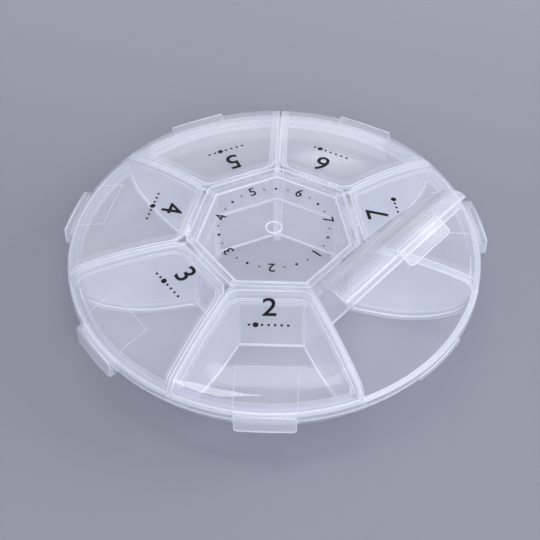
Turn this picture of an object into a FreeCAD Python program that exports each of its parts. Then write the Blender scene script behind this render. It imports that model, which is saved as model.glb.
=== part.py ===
import FreeCAD, Part
import math
import os

import Sketcher

# A round weekly pill box: a shallow tray with seven compartments around a hollow
# seven-sided column, a cap pressed into the column, and seven domed lids that swing
# up from the cap on thin webs and snap over a ledge on the tray's rim.
# Millimetres, +Z up, origin at the middle of the foot. The second lid faces -Y.

DAYS = ["mon", "tue", "wed", "thu", "fri", "sat", "sun"]
FRONT_DAY = DAYS.index("tue")
STANDING_OPEN = "mon"

DIMENSIONS = {
    # lids and cap, seen from outside
    "rim_radius": 46.0,
    "crown_height": 21.5,
    "crown_flat_margin": 0.5,
    "shoulder_radius": 4.5,
    "seam_height": 13.5,
    # tray
    "seam_clearance": 0.1,
    "rim_width": 1.4,
    "tray_wall": 1.0,
    "bowl_corner_radius": 9.0,
    "foot_radius": 25.0,
    "floor_thickness": 1.0,
    "flange_height": 1.9,
    "divider_thickness": 1.4,
    "divider_clearance": 0.3,
    "column_apothem": 16.9,
    "column_wall": 0.8,
    # cap
    "cap_overhang": 0.7,
    "cap_thickness": 1.0,
    "cap_skirt_clearance": 0.1,
    "cap_skirt_wall": 0.9,
    "cap_skirt_depth": 7.2,
    "slot_width": 0.5,
    "slot_length": 3.9,
    "slot_start": 3.4,
    "gate_ring_radius": 2.0,
    "gate_ring_width": 0.5,
    "gate_ring_height": 0.2,
    "gate_dimple_depth": 0.35,
    # lids
    "lid_wall": 1.0,
    "lid_slit": 0.5,
    "corner_relief": 1.2,
    "rib_inset": 0.85,
    "rib_width": 0.9,
    "rib_depth": 1.0,
    "plug_clearance": 0.45,
    "plug_wall": 0.85,
    "plug_depth": 1.1,
    "open_angle": 63.0,
    # living hinges
    "hinge_gap": 0.9,
    "web_thickness": 0.3,
    "web_recess": 0.1,
    "web_end_inset": 1.0,
    # snap latches
    "ledge_length": 14.0,
    "ledge_reach": 0.6,
    "ledge_height": 1.2,
    "ledge_chamfer": 0.4,
    "latch_width": 13.0,
    "latch_wall": 1.05,
    "latch_clearance": 0.15,
    "latch_drop": 3.3,
    "latch_rise": 1.4,
    "latch_corner_radius": 0.8,
    "latch_edge": 0.4,
    "hook_height": 0.4,
    "hook_clearance": 0.1,
}


class Size:
    """A number, together with the sheet expression that it comes from."""

    def __init__(self, value, text):
        self.value = value
        self.text = text

    def combine(self, other, sign, value):
        return Size(value, f"({self.text} {sign} {as_size(other).text})")

    def __add__(self, other):
        return self.combine(other, "+", self.value + as_size(other).value)

    def __sub__(self, other):
        return self.combine(other, "-", self.value - as_size(other).value)

    def __mul__(self, other):
        return self.combine(other, "*", self.value * as_size(other).value)

    def __truediv__(self, other):
        return self.combine(other, "/", self.value / as_size(other).value)

    def __neg__(self):
        return Size(-self.value, f"(0 - {self.text})")


def as_size(number):
    return number if isinstance(number, Size) else Size(float(number), repr(float(number)))


def root(size):
    return Size(math.sqrt(size.value), f"sqrt({size.text})")


def cosine(angle):
    return Size(math.cos(math.radians(angle.value)), f"cos({angle.text})")


def sine(angle):
    return Size(math.sin(math.radians(angle.value)), f"sin({angle.text})")


def make_sheet(document):
    """Writes the driving dimensions into the sheet and returns them as Sizes by name."""
    sheet = document.addObject("Spreadsheet::Sheet", "sizes")
    for row, (name, value) in enumerate(DIMENSIONS.items(), start=1):
        sheet.set(f"A{row}", name)
        sheet.set(f"B{row}", str(value))
        sheet.setAlias(f"B{row}", name)
    document.recompute()
    return {name: Size(value, f"sizes.{name}") for name, value in DIMENSIONS.items()}


def bind(item, path, size):
    """Ties one property, or one sketch constraint, to the sheet."""
    item.setExpression(path, as_size(size).text)


# --- drawing -----------------------------------------------------------------

UPRIGHT = FreeCAD.Rotation(FreeCAD.Vector(1, 0, 0), 90)


def arc_centre(start, end, radius, turn):
    """The centre of the short arc between two points; turn is 1 for anticlockwise, -1 for clockwise."""
    chord = end - start
    rise = math.sqrt(max(radius * radius - chord.Length ** 2 / 4, 0))
    left = FreeCAD.Vector(-chord.y, chord.x, 0).normalize()
    return start + chord * 0.5 + left * (rise * turn)


def add_edge(sketch, start, step):
    """Adds a straight edge or an arc; returns its index and which of its ends is its last."""
    end = FreeCAD.Vector(step[0].value, step[1].value, 0)
    if len(step) == 2:
        return sketch.addGeometry(Part.LineSegment(start, end)), 2
    radius, turn = step[2], step[3]
    centre = arc_centre(start, end, radius.value, turn)
    first, last = (start, end) if turn > 0 else (end, start)
    angles = [math.atan2(p.y - centre.y, p.x - centre.x) for p in (first, last)]
    if angles[1] < angles[0]:
        angles[1] += 2 * math.pi
    circle = Part.Circle(centre, FreeCAD.Vector(0, 0, 1), radius.value)
    index = sketch.addGeometry(Part.ArcOfCircle(circle, *angles))
    return index, 2 if turn > 0 else 1


def hold(sketch, kind, geometry, size):
    """Adds one dimension of a sketch and ties it to the sheet."""
    index = sketch.addConstraint(Sketcher.Constraint(kind, *geometry, size.value))
    bind(sketch, f"Constraints[{index}]", size)


def axis_line(letter):
    """The number by which a sketch knows its own level or upright axis."""
    return -1 if letter == "X" else -2


def hold_corner(sketch, edge, end, corner):
    """Places a corner of an outline by its two coordinates."""
    sides = ((corner[0], "DistanceX", axis_line("Y")), (corner[1], "DistanceY", axis_line("X")))
    for size, kind, axis in sides:
        if size.value == 0:
            sketch.addConstraint(Sketcher.Constraint("PointOnObject", edge, end, axis))
        else:
            hold(sketch, kind, (edge, end), size)


def outline(sketch, steps):
    """Draws a closed outline. A step is the corner (x, y) that a straight edge runs to,
    or (x, y, radius, turn) for an arc that runs there; the first edge starts at the last corner."""
    steps = [tuple(as_size(v) for v in s[:3]) + tuple(s[3:]) for s in steps]
    start = FreeCAD.Vector(steps[-1][0].value, steps[-1][1].value, 0)
    edges = []
    for step in steps:
        index, last = add_edge(sketch, start, step)
        edges.append((index, last))
        start = FreeCAD.Vector(step[0].value, step[1].value, 0)
    for (index, last), (following, following_last), step in zip(edges, edges[1:] + edges[:1], steps):
        joint = Sketcher.Constraint("Coincident", index, last, following, 3 - following_last)
        sketch.addConstraint(joint)
        hold_corner(sketch, index, last, step)
        if len(step) == 4:
            hold(sketch, "Radius", (index,), step[2])


def circle(sketch, radius):
    """Draws a circle around the middle of the sketch."""
    centre = FreeCAD.Vector(0, 0, 0)
    index = sketch.addGeometry(Part.Circle(centre, FreeCAD.Vector(0, 0, 1), radius.value))
    sketch.addConstraint(Sketcher.Constraint("Coincident", index, 3, axis_line("X"), 1))
    hold(sketch, "Radius", (index,), radius)


def heptagon(apothem):
    """The corners of a seven-sided outline whose corners lie above the dividers."""
    reach = apothem / cosine(HALF_SECTOR)
    return [
        (reach * cosine(corner_azimuth(k)), reach * sine(corner_azimuth(k)))
        for k in range(len(DAYS))
    ]


def plane(body, role):
    return next(f for f in body.Origin.OriginFeatures if f.Role == role)


def body_sketch(body, name, role="XY_Plane", height=None):
    """A sketch on one of a body's own planes, raised to a height if one is given."""
    sketch = body.newObject("Sketcher::SketchObject", name)
    sketch.AttachmentSupport = [(plane(body, role), "")]
    sketch.MapMode = "FlatFace"
    if height is not None:
        bind(sketch, "AttachmentOffset.Base.z", height)
    return sketch


def feature(body, kind, name, sketch, **settings):
    """A PartDesign feature made from a sketch; settings that are Sizes are tied to the sheet."""
    item = body.newObject(f"PartDesign::{kind}", name)
    item.Profile = (sketch, [""])
    for key, value in settings.items():
        if isinstance(value, Size):
            bind(item, key, value)
        else:
            setattr(item, key, value)
    return item


def turned(body, kind, name, sketch, angle):
    """A revolution or groove about the vertical axis, half of it to each side of the sketch."""
    item = feature(body, kind, name, sketch, Angle=angle)
    item.ReferenceAxis = (plane(body, "Z_Axis"), [""])
    item.Midplane = True
    return item


def around(body, name, originals):
    """Repeats features once for each compartment."""
    pattern = body.newObject("PartDesign::PolarPattern", name)
    pattern.Originals = originals
    pattern.Axis = (plane(body, "Z_Axis"), [""])
    pattern.Angle = 360
    pattern.Occurrences = len(DAYS)
    body.Tip = pattern
    return pattern


# --- shapes that several pieces share ----------------------------------------

SECTOR = as_size(360) / len(DAYS)
HALF_SECTOR = SECTOR / 2


def corner_azimuth(k):
    """The direction of divider k, counted clockwise from +Y."""
    return as_size(90) - SECTOR * k


def lid_azimuth(index):
    """The direction that a lid faces: the front lid faces -Y, and the days run clockwise."""
    return as_size(-90) - SECTOR * (index - FRONT_DAY)


def two_arc_radius(width, height, end_radius):
    """The radius of a long arc that starts level and runs smoothly into an end arc, which ends
    upright: width and height are from the start to the middle of the end arc."""
    return (width * width + height * height - end_radius * end_radius) / (
        (height - end_radius) * 2
    )


class TwoArcs:
    """A level line that bends into an upright one over a long arc and a short one.

    sign is 1 for a bowl, which bends up, and -1 for a dome, which bends down."""

    def __init__(self, start, level, end, end_level, end_radius, sign):
        width = end - end_radius - start
        height = (end_level - level) * sign
        self.start, self.level, self.sign = start, level, sign
        self.long_radius = two_arc_radius(width, height, end_radius)
        self.end_radius = end_radius
        self.end_middle = end - end_radius
        self.end_level = end_level
        self.lean = width / (self.long_radius - end_radius)

    def points(self, offset):
        """Start, joint and end of the curve moved by offset towards the arcs' centres,
        with the radii of the two arcs."""
        long_radius = self.long_radius - offset
        end_radius = self.end_radius - offset
        upright = root(as_size(1) - self.lean * self.lean)
        centre_level = self.level + self.long_radius * self.sign
        start = (self.start, self.level + offset * self.sign)
        joint = (
            self.start + long_radius * self.lean,
            centre_level - long_radius * upright * self.sign,
        )
        end = (self.end_middle + end_radius, self.end_level)
        return start, joint, end, long_radius, end_radius

    def steps(self, offset, outwards):
        """The outline's steps along the curve, from its middle outwards or back."""
        start, joint, end, long_radius, end_radius = self.points(offset)
        if outwards:
            turn = int(self.sign)
            return [start, (*joint, long_radius, turn), (*end, end_radius, turn)]
        turn = -int(self.sign)
        return [end, (*joint, end_radius, turn), (*start, long_radius, turn)]


def tray_inner_radius(s):
    return s["rim_radius"] - s["rim_width"]


def cap_apothem(s):
    return s["column_apothem"] + s["cap_overhang"]


def crown_curve(s):
    """The outside of the lids: flat past the cap's corners, domed, with a round shoulder."""
    flat_radius = cap_apothem(s) / cosine(HALF_SECTOR) + s["crown_flat_margin"]
    return TwoArcs(
        flat_radius, s["crown_height"],
        s["rim_radius"], s["seam_height"], s["shoulder_radius"], -1,
    )


def bowl_curve(s):
    """The inside of the tray's bowl."""
    return TwoArcs(
        s["foot_radius"], s["floor_thickness"],
        tray_inner_radius(s), rim_top(s), s["bowl_corner_radius"], 1,
    )


def rim_top(s):
    return s["seam_height"] - s["seam_clearance"]


def under_cap(s):
    return s["crown_height"] - s["cap_thickness"]


def hinge_apothem(s):
    return cap_apothem(s) + s["hinge_gap"] / 2


def hinge_height(s):
    return s["crown_height"] - s["web_recess"] - s["web_thickness"] / 2


# --- the tray ----------------------------------------------------------------


def make_base_tray(document, s):
    body = document.addObject("PartDesign::Body", "base_tray")
    add_bowl(body, s)
    add_flange(body, s)
    add_column(body, s)
    add_dividers(body, s)
    add_ledges(body, s)
    return body


def add_bowl(body, s):
    """The dished wall, from the foot up to the rim."""
    sketch = body_sketch(body, "bowl_section", "XZ_Plane")
    curve = bowl_curve(s)
    middle = as_size(0)
    outside = curve.steps(-s["tray_wall"], outwards=True)
    foot = (outside[0][0], s["floor_thickness"] - s["tray_wall"])
    inside = curve.steps(as_size(0), outwards=False)
    outline(sketch, [(middle, foot[1]), foot, *outside[1:], *inside, (middle, s["floor_thickness"])])
    turned(body, "Revolution", "bowl", sketch, as_size(360))


def add_flange(body, s):
    """The collar around the rim that the lids close on."""
    sketch = body_sketch(body, "flange_ring", height=rim_top(s) - s["flange_height"])
    circle(sketch, s["rim_radius"])
    circle(sketch, tray_inner_radius(s) + s["tray_wall"] / 4)
    feature(body, "Pad", "flange", sketch, Length=s["flange_height"])


def add_column(body, s):
    """The hollow seven-sided column that carries the cap."""
    wall = body_sketch(body, "column_outline")
    outline(wall, heptagon(s["column_apothem"]))
    feature(body, "Pad", "column", wall, Length=under_cap(s))
    bore = body_sketch(body, "column_bore_outline", height=under_cap(s))
    outline(bore, heptagon(s["column_apothem"] - s["column_wall"]))
    feature(body, "Pocket", "column_bore", bore, Length=under_cap(s) - s["floor_thickness"])


def add_dividers(body, s):
    """Seven thin walls from the column's corners to the rim, just clear of the lids."""
    sketch = body_sketch(body, "divider_outline", "YZ_Plane")
    embed = s["tray_wall"] / 2
    under_lid = crown_curve(s).steps(s["lid_wall"] + s["divider_clearance"], outwards=False)
    rim_corner = (under_lid[0][0], rim_top(s))
    along_bowl = bowl_curve(s).steps(-embed, outwards=True)
    inner = (s["column_apothem"] - s["column_wall"] / 2) / cosine(HALF_SECTOR)
    outline(
        sketch,
        [
            (inner, s["floor_thickness"] - embed), *along_bowl, rim_corner,
            *under_lid, (inner, under_lid[-1][1]),
        ],
    )
    wall = feature(body, "Pad", "divider", sketch, Length=s["divider_thickness"])
    wall.Midplane = True
    around(body, "dividers", [wall])


def ledge_bottom(s):
    return rim_top(s) - s["flange_height"] + (s["flange_height"] - s["ledge_height"]) / 2


def add_ledges(body, s):
    """The catches outside the rim that the latches snap under, one below each lid's middle."""
    sketch = body_sketch(body, "ledge_section", "YZ_Plane")
    reach = -(s["rim_radius"] + s["ledge_reach"])
    root_radius = -(s["rim_radius"] - s["tray_wall"] / 2)
    low = ledge_bottom(s)
    high = low + s["ledge_height"]
    outline(
        sketch,
        [
            (root_radius, low), (reach, low), (reach, high - s["ledge_chamfer"]),
            (reach + s["ledge_chamfer"], high), (root_radius, high),
        ],
    )
    angle = s["ledge_length"] / s["rim_radius"] * (180 / math.pi)
    around(body, "ledges", [turned(body, "Revolution", "ledge", sketch, angle)])


# --- the cap -----------------------------------------------------------------


def make_center_cap(document, s):
    body = document.addObject("PartDesign::Body", "center_cap")
    plate = body_sketch(body, "plate_outline", height=under_cap(s))
    outline(plate, heptagon(cap_apothem(s)))
    feature(body, "Pad", "plate", plate, Length=s["cap_thickness"])
    add_cap_skirt(body, s)
    add_slots(body, s)
    add_gate(body, s)
    return body


def add_cap_skirt(body, s):
    """The seven-sided skirt that plugs into the column."""
    outer = s["column_apothem"] - s["column_wall"] - s["cap_skirt_clearance"]
    embed = s["cap_thickness"] / 2
    ring = body_sketch(body, "skirt_outline", height=under_cap(s) - s["cap_skirt_depth"])
    outline(ring, heptagon(outer))
    outline(ring, heptagon(outer - s["cap_skirt_wall"]))
    feature(body, "Pad", "skirt", ring, Length=s["cap_skirt_depth"] + embed)


def add_slots(body, s):
    """Two short slots along each side of the plate, above the column's wall."""
    sketch = body_sketch(body, "slot_outlines", height=s["crown_height"])
    middle = s["column_apothem"] - s["column_wall"] / 2
    near = -(middle - s["slot_width"] / 2)
    far = -(middle + s["slot_width"] / 2)
    end = s["slot_start"] + s["slot_length"]
    outline(sketch, [(s["slot_start"], far), (end, far), (end, near), (s["slot_start"], near)])
    outline(sketch, [(-end, far), (-s["slot_start"], far), (-s["slot_start"], near), (-end, near)])
    around(body, "slots", [feature(body, "Pocket", "slot", sketch, Length=s["cap_thickness"])])


def add_gate(body, s):
    """The small ring and dimple that the mould leaves in the middle of the cap."""
    ring = body_sketch(body, "gate_ring_outline", height=s["crown_height"])
    circle(ring, s["gate_ring_radius"])
    circle(ring, s["gate_ring_radius"] - s["gate_ring_width"])
    feature(body, "Pad", "gate_ring", ring, Length=s["gate_ring_height"])
    dimple = body_sketch(body, "gate_dimple_outline", height=s["crown_height"])
    circle(dimple, s["gate_ring_radius"] - s["gate_ring_width"])
    feature(body, "Pocket", "gate_dimple", dimple, Length=s["gate_dimple_depth"])


# --- the lids ----------------------------------------------------------------

ALONG_Y = FreeCAD.Rotation(FreeCAD.Vector(1, 1, 1), 120)


def free_sketch(document, name, rotation=FreeCAD.Rotation()):
    sketch = document.addObject("Sketcher::SketchObject", name)
    sketch.Placement = FreeCAD.Placement(FreeCAD.Vector(), rotation)
    return sketch


def revolved(document, name, steps):
    """A ring section turned about the vertical axis, half a sector to each side of +X."""
    sketch = free_sketch(document, f"{name}_section", UPRIGHT)
    outline(sketch, steps)
    item = document.addObject("Part::Revolution", name)
    item.Source = sketch
    item.Axis = FreeCAD.Vector(0, 0, 1)
    item.Symmetric = True
    item.Solid = True
    bind(item, "Angle", SECTOR)
    return item


def raised(document, name, sketch, direction, length):
    """A sketch drawn out into a solid."""
    item = document.addObject("Part::Extrusion", name)
    item.Base = sketch
    item.DirMode = "Custom"
    item.Dir = direction
    item.Solid = True
    bind(item, "LengthFwd", length)
    return item


def column_of(document, name, steps, s):
    """A plan outline raised through the whole height of the box."""
    sketch = free_sketch(document, f"{name}_plan")
    outline(sketch, steps)
    return raised(document, name, sketch, FreeCAD.Vector(0, 0, 1), s["crown_height"] * 2)


def common(document, name, *items):
    item = document.addObject("Part::MultiCommon", name)
    item.Shapes = list(items)
    return item


def far_edge(s):
    """A distance from the middle that lies outside everything on a lid."""
    return s["rim_radius"] + s["ledge_reach"] + s["latch_clearance"] + s["latch_wall"] * 2


def lid_edge(s):
    """How far the lids' straight inner edge lies from the middle."""
    return cap_apothem(s) + s["hinge_gap"]


def half_width(distance, inset):
    """Half the width of a sector at a distance from the middle, with its sides moved in."""
    slope = sine(HALF_SECTOR) / cosine(HALF_SECTOR)
    return distance * slope - inset / cosine(HALF_SECTOR)


def sector_plan(s, inset):
    """The plan of a lid with its three straight edges moved in, open towards the rim.

    Its two inner corners are cut off, so that neighbouring lids can swing past the cap's corner."""
    near, far = lid_edge(s) + inset, far_edge(s)
    side = s["lid_slit"] / 2 + inset
    relief = s["corner_relief"]
    tip_half, far_half = half_width(near, side) - relief, half_width(far, side)
    past_corner = near + relief
    corner_half = half_width(past_corner, side)
    return [
        (near, -tip_half), (past_corner, -corner_half), (far, -far_half),
        (far, far_half), (past_corner, corner_half), (near, tip_half),
    ]


def make_lid_blank(document, s):
    """One closed lid that faces +X, as the mould makes it."""
    parts = [make_shell(document, s), make_rib(document, s), make_plug(document, s)]
    parts.append(make_latch(document, s))
    blank = document.addObject("Part::MultiFuse", "lid_blank")
    blank.Shapes = parts
    blank.Refine = True
    return blank


def layer_steps(s, top, bottom):
    """The section of a layer of the dome between two depths below its outside."""
    curve = crown_curve(s)
    start = cap_apothem(s)
    return [
        (start, s["crown_height"] - top), *curve.steps(as_size(top), outwards=True),
        *curve.steps(as_size(bottom), outwards=False), (start, s["crown_height"] - bottom),
    ]


def make_shell(document, s):
    dome = revolved(document, "dome", layer_steps(s, as_size(0), s["lid_wall"]))
    plan = column_of(document, "lid_prism", sector_plan(s, as_size(0)), s)
    return common(document, "shell", dome, plan)


def make_rib(document, s):
    """The stiffening bead under the lid's three straight edges."""
    embed = s["lid_wall"] / 2
    layer = revolved(
        document, "rib_layer", layer_steps(s, s["lid_wall"] - embed, s["lid_wall"] + s["rib_depth"])
    )
    outer = sector_plan(s, s["rib_inset"])
    inner = sector_plan(s, s["rib_inset"] + s["rib_width"])
    plan = [*outer[:3], *reversed(inner[:3]), *reversed(inner[3:]), *outer[3:]]
    return common(document, "rib", layer, column_of(document, "rib_prism", plan, s))


def make_plug(document, s):
    """The lip under the lid's curved edge that dips into the tray's mouth."""
    outer = tray_inner_radius(s) - s["plug_clearance"]
    inner = outer - s["plug_wall"]
    bottom = s["seam_height"] - s["plug_depth"]
    shoulder_middle = s["rim_radius"] - s["shoulder_radius"]
    reach = s["shoulder_radius"] - s["lid_wall"] / 2

    def inside_shoulder(radius):
        across = radius - shoulder_middle
        return s["seam_height"] + root(reach * reach - across * across)

    ring = revolved(
        document, "plug_ring",
        [(inner, bottom), (outer, bottom), (outer, inside_shoulder(outer)), (inner, inside_shoulder(inner))],
    )
    plan = sector_plan(s, s["rib_inset"])
    return common(document, "plug", ring, column_of(document, "plug_prism", plan, s))


def hook_radius(s, height):
    """How far in the hook may reach under the ledge and still swing out past its corner."""
    ledge_across = s["rim_radius"] + s["ledge_reach"] - hinge_apothem(s)
    ledge_down = hinge_height(s) - ledge_bottom(s)
    swing = root(ledge_across * ledge_across + ledge_down * ledge_down) + s["hook_clearance"]
    down = hinge_height(s) - height
    return hinge_apothem(s) + root(swing * swing - down * down)


def make_latch(document, s):
    """The tab over the rim, hooked under the ledge, with its lower corners rounded."""
    inner = s["rim_radius"] + s["ledge_reach"] + s["latch_clearance"]
    outer = inner + s["latch_wall"]
    bottom = s["seam_height"] - s["latch_drop"]
    top = s["seam_height"] + s["latch_rise"]
    edge = s["latch_edge"]
    tip = bottom + s["hook_height"]
    hook = hook_radius(s, tip)
    embedded = s["rim_radius"] - s["lid_wall"] / 2
    tab = revolved(
        document, "latch_tab",
        [
            (embedded, s["seam_height"]), (inner, s["seam_height"]), (inner, tip + (inner - hook)),
            (hook, tip), (inner, bottom), (outer - edge, bottom), (outer, bottom + edge),
            (outer, top - edge), (outer - edge, top), (embedded, top),
        ],
    )
    front = free_sketch(document, "latch_front", ALONG_Y)
    half = s["latch_width"] / 2
    radius = s["latch_corner_radius"]
    over = top + s["latch_rise"]
    outline(
        front,
        [
            (half - radius, bottom), (half, bottom + radius, radius, 1), (half, over),
            (-half, over), (-half, bottom + radius), (-half + radius, bottom, radius, 1),
        ],
    )
    block = raised(document, "latch_block", front, FreeCAD.Vector(1, 0, 0), far_edge(s))
    return common(document, "latch", tab, block)


def turn_text(axis, angle):
    """The expression of a turn about an axis through the origin."""
    return (
        "create(<<placement>>; create(<<vector>>; 0; 0; 0); "
        f"create(<<rotation>>; create(<<vector>>; {axis}); {as_size(angle).text}))"
    )


def move_text(x, y, z):
    """The expression of a shift."""
    corner = "; ".join(as_size(v).text for v in (x, y, z))
    return (
        f"create(<<placement>>; create(<<vector>>; {corner}); "
        "create(<<rotation>>; create(<<vector>>; 0; 0; 1); 0))"
    )


def place(item, *moves):
    """Places a piece by moves that each act in the frame of the one before."""
    item.setExpression("Placement", " * ".join(moves))


def swing(s, day):
    """The moves that open the one lid that stands open."""
    if day != STANDING_OPEN:
        return []
    across, height = hinge_apothem(s), hinge_height(s)
    opening = turn_text("0; 1; 0", -s["open_angle"])
    return [move_text(across, 0, height), opening, move_text(-across, 0, -height)]


def make_lid(document, s, blank, index, day):
    body = document.addObject("PartDesign::Body", f"lid_{day}")
    body.BaseFeature = blank
    place(body, turn_text("0; 0; 1", lid_azimuth(index)), *swing(s, day))
    return body


# --- the living hinges -------------------------------------------------------


def web_width(s):
    return half_width(cap_apothem(s), s["web_end_inset"]) * 2


def make_web(document, s, index, day):
    """The thin web that a lid turns on, between the cap's edge and the lid's edge."""
    maker = bent_web if day == STANDING_OPEN else flat_web
    return maker(document, s, f"hinge_web_{day}", turn_text("0; 0; 1", lid_azimuth(index)))


def flat_web(document, s, name, direction):
    web = document.addObject("Part::Box", name)
    bind(web, "Length", s["hinge_gap"])
    bind(web, "Width", web_width(s))
    bind(web, "Height", s["web_thickness"])
    bottom = hinge_height(s) - s["web_thickness"] / 2
    place(web, direction, move_text(cap_apothem(s), -web_width(s) / 2, bottom))
    return web


def bent_web(document, s, name, direction):
    """The same web curled up in an arc, from level at the cap to the open lid's slope."""
    half_angle = s["open_angle"] / 2
    bend = s["hinge_gap"] / 2 * cosine(half_angle) / sine(half_angle)
    arcs = []
    for side, radius in (
        ("outer", bend + s["web_thickness"] / 2), ("inner", bend - s["web_thickness"] / 2)
    ):
        arc = document.addObject("Part::Cylinder", f"web_bend_{side}")
        bind(arc, "Radius", radius)
        bind(arc, "Height", web_width(s))
        bind(arc, "Angle", s["open_angle"])
        arcs.append(arc)
    web = document.addObject("Part::Cut", name)
    web.Base, web.Tool = arcs
    start = move_text(cap_apothem(s), web_width(s) / 2, hinge_height(s) + bend)
    place(web, direction, start, turn_text("1; 1; -1", 120))
    return web


# --- the whole box -----------------------------------------------------------


def make_box(document):
    s = make_sheet(document)
    pieces = [make_base_tray(document, s), make_center_cap(document, s)]
    blank = make_lid_blank(document, s)
    for index, day in enumerate(DAYS):
        pieces.append(make_lid(document, s, blank, index, day))
        pieces.append(make_web(document, s, index, day))
    document.recompute()
    return pieces


def check(document, pieces):
    """Stops if anything failed to build."""
    for item in document.Objects:
        if "Invalid" in item.State or "Error" in item.State:
            raise RuntimeError(f"{item.Label} failed: {item.State}")
    for piece in pieces:
        if piece.Shape.isNull() or not piece.Shape.isValid():
            raise RuntimeError(f"{piece.Label} has no valid shape")


def export(pieces):
    os.makedirs("parts", exist_ok=True)
    for piece in pieces:
        piece.Shape.exportStep(f"parts/{piece.Label}.step")
        print(f"{piece.Label}: {len(piece.Shape.Solids)} solid, {piece.Shape.Volume:.1f} mm3")


def main():
    document = FreeCAD.newDocument("pill_box")
    pieces = make_box(document)
    check(document, pieces)
    export(pieces)


main()
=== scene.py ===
"""A round weekly pill box of milky polypropylene: a dished tray with seven compartments,
a seven-sided cap in the middle and seven domed lids on thin webs, one of them standing open."""

import math

import bmesh
import bpy
from mathutils import Matrix, Vector

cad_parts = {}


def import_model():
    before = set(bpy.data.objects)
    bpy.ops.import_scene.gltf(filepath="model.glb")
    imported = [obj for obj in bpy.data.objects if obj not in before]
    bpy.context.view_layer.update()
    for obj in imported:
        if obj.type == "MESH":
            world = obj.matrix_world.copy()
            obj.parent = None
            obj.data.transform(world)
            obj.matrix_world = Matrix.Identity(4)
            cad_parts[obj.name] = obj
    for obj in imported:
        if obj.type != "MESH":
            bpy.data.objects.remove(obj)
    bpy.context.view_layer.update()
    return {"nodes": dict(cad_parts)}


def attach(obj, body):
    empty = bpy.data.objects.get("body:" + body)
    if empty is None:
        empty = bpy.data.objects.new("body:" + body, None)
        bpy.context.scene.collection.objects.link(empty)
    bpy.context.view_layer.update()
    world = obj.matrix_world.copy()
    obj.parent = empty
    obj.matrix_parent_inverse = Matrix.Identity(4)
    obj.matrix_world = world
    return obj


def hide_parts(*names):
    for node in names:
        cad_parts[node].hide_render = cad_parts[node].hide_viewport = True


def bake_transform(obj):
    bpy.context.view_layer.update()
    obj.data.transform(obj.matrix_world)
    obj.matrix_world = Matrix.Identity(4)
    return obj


# --- sizes, in metres, as the box is built --------------------------------------------

MM = 0.001
DAYS = ["mon", "tue", "wed", "thu", "fri", "sat", "sun"]
FRONT_DAY = 1
OPEN_DAY = "mon"
SECTOR = math.radians(360 / 7)
HALF_SECTOR = SECTOR / 2
TRAY_BODY = "box"

CROWN_HEIGHT = 21.5 * MM
RIM_RADIUS = 46 * MM
SEAM_HEIGHT = 13.5 * MM
SHOULDER = 4.5 * MM

RIM_TOP = SEAM_HEIGHT - 0.1 * MM
RIM_INNER = 44.6 * MM
FLANGE_HEIGHT = 1.9 * MM
BOWL_CORNER = 9 * MM
FOOT_RADIUS = 25 * MM
FLOOR = 1.0 * MM
DIVIDER_SIDE = 0.7 * MM
COLUMN_OUTER = 16.9 * MM
COLUMN_INNER = 16.1 * MM

CAP_APOTHEM = 17.6 * MM
CAP_UNDERSIDE = CROWN_HEIGHT - 1.0 * MM
SKIRT_OUTER = 16.0 * MM
SKIRT_INNER = 15.1 * MM
SKIRT_BOTTOM = CAP_UNDERSIDE - 7.2 * MM
FLAT_RADIUS = CAP_APOTHEM / math.cos(HALF_SECTOR) + 0.5 * MM
GATE_RADIUS = 1.75 * MM
GATE_BEAD = 0.24 * MM
GATE_HEIGHT = CROWN_HEIGHT + 0.2 * MM - GATE_BEAD

LID_WALL = 1.0 * MM
HALF_SLIT = 0.25 * MM
CORNER_RELIEF = 1.2 * MM
RIB_OUTER = 0.85 * MM
RIB_INNER = 1.75 * MM
RIB_BOTTOM = 2.0 * MM
PLUG_RADII = (RIM_INNER - 0.45 * MM, RIM_INNER - 1.3 * MM)
PLUG_BOTTOM = SEAM_HEIGHT - 1.1 * MM
DIVIDER_TOP = LID_WALL + 0.3 * MM
HINGE_GAP = 0.9 * MM
HINGE_APOTHEM = CAP_APOTHEM + HINGE_GAP / 2
LID_EDGE = CAP_APOTHEM + HINGE_GAP
WEB_THICKNESS = 0.3 * MM
WEB_END_INSET = 1.0 * MM
HINGE_HEIGHT = CROWN_HEIGHT - 0.1 * MM - WEB_THICKNESS / 2
OPEN_ANGLE = math.radians(63)

TAB_HALF = 6.5 * MM
TAB_OUTER = 47.8 * MM
TAB_TOP = SEAM_HEIGHT + 1.4 * MM
TAB_BOTTOM = SEAM_HEIGHT - 3.3 * MM
INSERT_START = 37.6 * MM


def lid_azimuth(day):
    """The direction that a lid faces; the days run clockwise from the front."""
    return math.radians(-90) - SECTOR * (DAYS.index(day) - FRONT_DAY)


def lid_place(day):
    """Takes a point on a shut lid that faces +X to its place on the box."""
    turn = Matrix.Rotation(lid_azimuth(day), 4, "Z")
    if day != OPEN_DAY:
        return turn
    hinge = Matrix.Translation((HINGE_APOTHEM, 0, HINGE_HEIGHT))
    return turn @ hinge @ Matrix.Rotation(-OPEN_ANGLE, 4, "Y") @ hinge.inverted()


def divider_place(k):
    """Takes a point on a divider that runs along +X to divider k."""
    return Matrix.Rotation(math.radians(90) - SECTOR * k, 4, "Z")


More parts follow.
